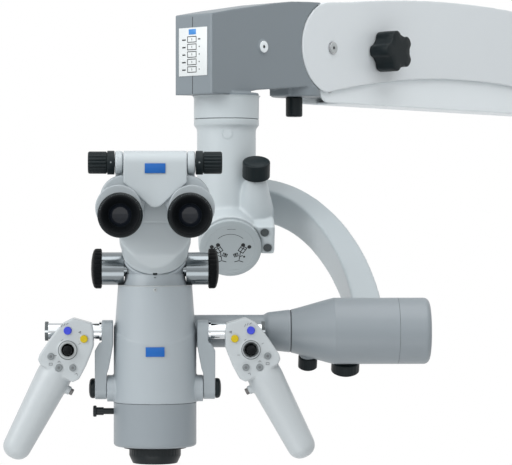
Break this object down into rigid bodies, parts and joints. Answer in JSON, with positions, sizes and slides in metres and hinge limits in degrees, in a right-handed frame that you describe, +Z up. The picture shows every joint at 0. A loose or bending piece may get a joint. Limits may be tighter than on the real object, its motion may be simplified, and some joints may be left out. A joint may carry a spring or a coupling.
{
  "type": "surgical microscope",
  "caption": "Binocular surgical microscope with two control handles, hung by a C-shaped arm and tilting neck from a parallel-link spring arm.",
  "frame": {"origin": "middle of the vertical bore in the rear knuckle, where the arm sits on its stand's spindle", "axes": "+Z up along the bore, +X to the right of a person facing the eyepieces' front, +Y away from that person"},
  "size_m": [0.7753, 0.9231, 0.5049],
  "materials": {
    "dark_casting": "satin paint",
    "steel_pin": "brushed",
    "link_metal": "satin",
    "white_plastic": "semi-gloss",
    "black_paint": "black anodised",
    "black_plastic": "matte",
    "pale_paint": "satin paint",
    "mid_grey_paint": "satin paint",
    "chrome": "polished",
    "lens_glass": "coated",
    "black_rubber": "soft matte",
    "blue_plastic": "gloss",
    "yellow_plastic": "gloss",
    "grey_plastic": "gloss",
    "brown_plastic": "gloss"
  },
  "bodies": {
    "stand_knuckle": {"rear_knuckle": "dark_casting", "rear_pins": "steel_pin"},
    "arm": {"upper_link": "link_metal", "arm_cover": "white_plastic", "gas_spring": "black_paint"},
    "lower_link": {"lower_link": "link_metal"},
    "lift_knob": {"lift_knob": "black_plastic"},
    "arm_head": {"arm_head": "dark_casting", "front_pins": "steel_pin"},
    "swivel_lock_knob": {"swivel_lock_knob": "black_plastic"},
    "neck": {"neck_column": "pale_paint", "tilt_plate": "mid_grey_paint"},
    "tilt_knob": {"tilt_knob": "black_plastic"},
    "c_arm": {"c_arm": "pale_paint", "pitch_housing": "mid_grey_paint", "pitch_cap": "mid_grey_paint"},
    "pitch_lock_knob": {"pitch_lock_knob": "black_plastic"},
    "balance_knob": {"balance_knob": "black_plastic"},
    "microscope": {"pitch_hub": "mid_grey_paint", "changer_housing": "pale_paint", "body_shell": "pale_paint", "lower_housing": "mid_grey_paint", "tube_base": "pale_paint"},
    "changer": {"mag_axle": "chrome", "mag_knobs": "black_plastic"},
    "objective": {"objective_barrel": "black_paint"},
    "objective_lens": {"objective_lens": "lens_glass"},
    "filter_lever": {"filter_lever": "black_paint"},
    "binocular": {"tube_cover": "pale_paint"},
    "pd_knobs": {"pd_knobs": "black_plastic"},
    "prism_left": {"prism_housing_left": "pale_paint", "eyepiece_left": "black_paint"},
    "dioptre_ring_left": {"dioptre_ring_left": "black_paint"},
    "eyecup_left": {"eyecup_left": "black_rubber"},
    "left_bracket": {"left_bracket": "pale_paint"},
    "left_bracket_knob": {"left_bracket_knob": "black_plastic"},
    "left_handle_shaft": {"left_handle_shaft": "chrome"},
    "left_handle": {"left_handle": "pale_paint"},
    "left_joystick": {"left_joystick": "black_plastic"},
    "left_blue_button": {"left_blue_button": "blue_plastic"},
    "left_yellow_button": {"left_yellow_button": "yellow_plastic"},
    "left_grey_button_1": {"left_grey_button_1": "grey_plastic"},
    "left_grey_button_2": {"left_grey_button_2": "grey_plastic"},
    "left_grey_button_3": {"left_grey_button_3": "grey_plastic"},
    "left_trigger": {"left_trigger": "brown_plastic"},
    "prism_right": {"prism_housing_right": "pale_paint", "eyepiece_right": "black_paint"},
    "dioptre_ring_right": {"dioptre_ring_right": "black_paint"},
    "eyecup_right": {"eyecup_right": "black_rubber"},
    "right_bracket": {"right_bracket": "pale_paint"},
    "right_bracket_knob": {"right_bracket_knob": "black_plastic"},
    "right_handle_shaft": {"right_handle_shaft": "chrome"},
    "right_handle": {"right_handle": "pale_paint"},
    "right_joystick": {"right_joystick": "black_plastic"},
    "right_blue_button": {"right_blue_button": "blue_plastic"},
    "right_yellow_button": {"right_yellow_button": "yellow_plastic"},
    "right_grey_button_1": {"right_grey_button_1": "grey_plastic"},
    "right_grey_button_2": {"right_grey_button_2": "grey_plastic"},
    "right_grey_button_3": {"right_grey_button_3": "grey_plastic"},
    "right_trigger": {"right_trigger": "brown_plastic"}
  },
  "joints": [
    {"name": "arm_lift", "type": "hinge", "parent": "stand_knuckle", "child": "arm", "pos_m": [-0.06044, -0.06258, 0.0183], "axis": [0.7193, -0.6947, 0], "range_deg": [-26, 26]},
    {"name": "lower_link_swing", "type": "hinge", "parent": "stand_knuckle", "child": "lower_link", "pos_m": [-0.06044, -0.06258, -0.026], "axis": [0.7193, -0.6947, 0], "range_deg": [-26, 26]},
    {"name": "lift_knob_turn", "type": "hinge", "parent": "arm", "child": "lift_knob", "pos_m": [-0.34643, -0.35874, 0.0183], "axis": [0.7193, -0.6947, 0], "range_deg": [-180, 180]},
    {"name": "head_level", "type": "hinge", "parent": "arm", "child": "arm_head", "pos_m": [-0.40776, -0.42225, 0.0183], "axis": [0.7193, -0.6947, 0], "range_deg": [-26, 26]},
    {"name": "swivel_lock_turn", "type": "hinge", "parent": "arm_head", "child": "swivel_lock_knob", "pos_m": [-0.43208, -0.44743, -0.0665], "axis": [0, 0, 1], "range_deg": [0, 90]},
    {"name": "neck_swivel", "type": "hinge", "parent": "arm_head", "child": "neck", "pos_m": [-0.51057, -0.52872, -0.0665], "axis": [0, 0, 1], "range_deg": [-150, 150]},
    {"name": "tilt_knob_turn", "type": "hinge", "parent": "neck", "child": "tilt_knob", "pos_m": [-0.47967, -0.56581, -0.1298], "axis": [0, -0.454, 0.891], "range_deg": [-180, 0]},
    {"name": "side_tilt", "type": "hinge", "parent": "neck", "child": "c_arm", "pos_m": [-0.50737, -0.52872, -0.1861], "axis": [0, 0.891, 0.454], "range_deg": [-25, 25]},
    {"name": "pitch_lock_turn", "type": "hinge", "parent": "c_arm", "child": "pitch_lock_knob", "pos_m": [-0.43297, -0.71464, -0.31732], "axis": [0, 0.454, -0.891], "range_deg": [-90, 0]},
    {"name": "balance_knob_turn", "type": "hinge", "parent": "c_arm", "child": "balance_knob", "pos_m": [-0.39437, -0.71346, -0.31964], "axis": [0, 0.454, -0.891], "range_deg": [-180, 180]},
    {"name": "pitch", "type": "hinge", "parent": "c_arm", "child": "microscope", "pos_m": [-0.45137, -0.72872, -0.2897], "axis": [1, 0, 0], "range_deg": [-40, 45]},
    {"name": "changer_turn", "type": "hinge", "parent": "microscope", "child": "changer", "pos_m": [-0.58837, -0.75672, -0.226], "axis": [1, 0, 0], "continuous": true},
    {"name": "fine_focus_turn", "type": "hinge", "parent": "microscope", "child": "objective", "pos_m": [-0.58837, -0.75672, -0.403], "axis": [0, 0, 1], "range_deg": [0, 180]},
    {"name": "fine_focus_travel", "type": "slide", "parent": "microscope", "child": "objective_lens", "axis": [0, 0, 1], "range_m": [0, 0.004]},
    {"name": "filter_slide", "type": "slide", "parent": "microscope", "child": "filter_lever", "axis": [-1, 0, 0], "range_m": [0, 0.009]},
    {"name": "tube_incline", "type": "hinge", "parent": "microscope", "child": "binocular", "pos_m": [-0.58837, -0.82671, -0.1222], "axis": [1, 0, 0], "range_deg": [-60, 0]},
    {"name": "pd_knob_turn", "type": "hinge", "parent": "binocular", "child": "pd_knobs", "pos_m": [-0.58837, -0.82671, -0.1222], "axis": [1, 0, 0], "range_deg": [-60, 42]},
    {"name": "pupil_distance_left", "type": "hinge", "parent": "binocular", "child": "prism_left", "pos_m": [-0.61937, -0.75672, -0.1567], "axis": [0, 1, 0], "range_deg": [-14, 20]},
    {"name": "dioptre_left", "type": "hinge", "parent": "prism_left", "child": "dioptre_ring_left", "pos_m": [-0.62182, -0.75672, -0.1734], "axis": [0, 1, 0], "range_deg": [-150, 150]},
    {"name": "eyecup_slide_left", "type": "slide", "parent": "prism_left", "child": "eyecup_left", "axis": [0, -1, 0], "range_m": [0, 0.004]},
    {"name": "left_bracket_swing", "type": "hinge", "parent": "microscope", "child": "left_bracket", "pos_m": [-0.63617, -0.75872, -0.3453], "axis": [1, 0, 0], "range_deg": [0, 45]},
    {"name": "left_bracket_knob_turn", "type": "hinge", "parent": "left_bracket", "child": "left_bracket_knob", "pos_m": [-0.65417, -0.75872, -0.3453], "axis": [1, 0, 0], "range_deg": [-180, 180]},
    {"name": "left_handle_tilt", "type": "hinge", "parent": "left_bracket", "child": "left_handle_shaft", "pos_m": [-0.64767, -0.76572, -0.288], "axis": [1, 0, 0], "range_deg": [-30, 20]},
    {"name": "left_handle_slide", "type": "slide", "parent": "left_handle_shaft", "child": "left_handle", "axis": [-1, 0, 0], "range_m": [-0.001, 0.012]},
    {"name": "left_joystick_tip", "type": "hinge", "parent": "left_handle", "child": "left_joystick", "pos_m": [-0.67457, -0.78172, -0.3061], "axis": [1, 0, 0], "range_deg": [-12, 12], "stiffness_Nm_per_rad": 0.05},
    {"name": "left_blue_button_press", "type": "slide", "parent": "left_handle", "child": "left_blue_button", "axis": [0, 1, 0], "range_m": [0, 0.0012], "stiffness_N_per_m": 400},
    {"name": "left_yellow_button_press", "type": "slide", "parent": "left_handle", "child": "left_yellow_button", "axis": [0, 1, 0], "range_m": [0, 0.0012], "stiffness_N_per_m": 400},
    {"name": "left_grey_button_1_press", "type": "slide", "parent": "left_handle", "child": "left_grey_button_1", "axis": [0, 1, 0], "range_m": [0, 0.0012], "stiffness_N_per_m": 400},
    {"name": "left_grey_button_2_press", "type": "slide", "parent": "left_handle", "child": "left_grey_button_2", "axis": [0, 1, 0], "range_m": [0, 0.0012], "stiffness_N_per_m": 400},
    {"name": "left_grey_button_3_press", "type": "slide", "parent": "left_handle", "child": "left_grey_button_3", "axis": [0, 1, 0], "range_m": [0, 0.0012], "stiffness_N_per_m": 400},
    {"name": "left_trigger_press", "type": "slide", "parent": "left_handle", "child": "left_trigger", "axis": [-0.887, 0, 0.4617], "range_m": [0, 0.0025], "stiffness_N_per_m": 400},
    {"name": "pupil_distance_right", "type": "hinge", "parent": "binocular", "child": "prism_right", "pos_m": [-0.55737, -0.75672, -0.1567], "axis": [0, 1, 0], "range_deg": [-20, 14]},
    {"name": "dioptre_right", "type": "hinge", "parent": "prism_right", "child": "dioptre_ring_right", "pos_m": [-0.55492, -0.75672, -0.1734], "axis": [0, 1, 0], "range_deg": [-150, 150]},
    {"name": "eyecup_slide_right", "type": "slide", "parent": "prism_right", "child": "eyecup_right", "axis": [0, -1, 0], "range_m": [0, 0.004]},
    {"name": "right_bracket_swing", "type": "hinge", "parent": "microscope", "child": "right_bracket", "pos_m": [-0.54057, -0.75872, -0.3453], "axis": [1, 0, 0], "range_deg": [0, 45]},
    {"name": "right_bracket_knob_turn", "type": "hinge", "parent": "right_bracket", "child": "right_bracket_knob", "pos_m": [-0.52257, -0.75872, -0.3453], "axis": [1, 0, 0], "range_deg": [-180, 180]},
    {"name": "right_handle_tilt", "type": "hinge", "parent": "right_bracket", "child": "right_handle_shaft", "pos_m": [-0.52907, -0.76572, -0.288], "axis": [1, 0, 0], "range_deg": [-30, 20]},
    {"name": "right_handle_slide", "type": "slide", "parent": "right_handle_shaft", "child": "right_handle", "axis": [1, 0, 0], "range_m": [-0.0096, 0.0034]},
    {"name": "right_joystick_tip", "type": "hinge", "parent": "right_handle", "child": "right_joystick", "pos_m": [-0.49357, -0.78172, -0.3061], "axis": [1, 0, 0], "range_deg": [-12, 12], "stiffness_Nm_per_rad": 0.05},
    {"name": "right_blue_button_press", "type": "slide", "parent": "right_handle", "child": "right_blue_button", "axis": [0, 1, 0], "range_m": [0, 0.0012], "stiffness_N_per_m": 400},
    {"name": "right_yellow_button_press", "type": "slide", "parent": "right_handle", "child": "right_yellow_button", "axis": [0, 1, 0], "range_m": [0, 0.0012], "stiffness_N_per_m": 400},
    {"name": "right_grey_button_1_press", "type": "slide", "parent": "right_handle", "child": "right_grey_button_1", "axis": [0, 1, 0], "range_m": [0, 0.0012], "stiffness_N_per_m": 400},
    {"name": "right_grey_button_2_press", "type": "slide", "parent": "right_handle", "child": "right_grey_button_2", "axis": [0, 1, 0], "range_m": [0, 0.0012], "stiffness_N_per_m": 400},
    {"name": "right_grey_button_3_press", "type": "slide", "parent": "right_handle", "child": "right_grey_button_3", "axis": [0, 1, 0], "range_m": [0, 0.0012], "stiffness_N_per_m": 400},
    {"name": "right_trigger_press", "type": "slide", "parent": "right_handle", "child": "right_trigger", "axis": [0.887, 0, 0.4617], "range_m": [0, 0.0025], "stiffness_N_per_m": 400}
  ],
  "couplings": [
    {"joint": "lower_link_swing", "follows": "arm_lift", "ratio": 1},
    {"joint": "head_level", "follows": "arm_lift", "ratio": -1},
    {"joint": "pupil_distance_right", "follows": "pd_knob_turn", "ratio": 0.33},
    {"joint": "pupil_distance_left", "follows": "pd_knob_turn", "ratio": -0.33},
    {"joint": "fine_focus_turn", "follows": "fine_focus_travel", "rad_per_m": 785}
  ]
}
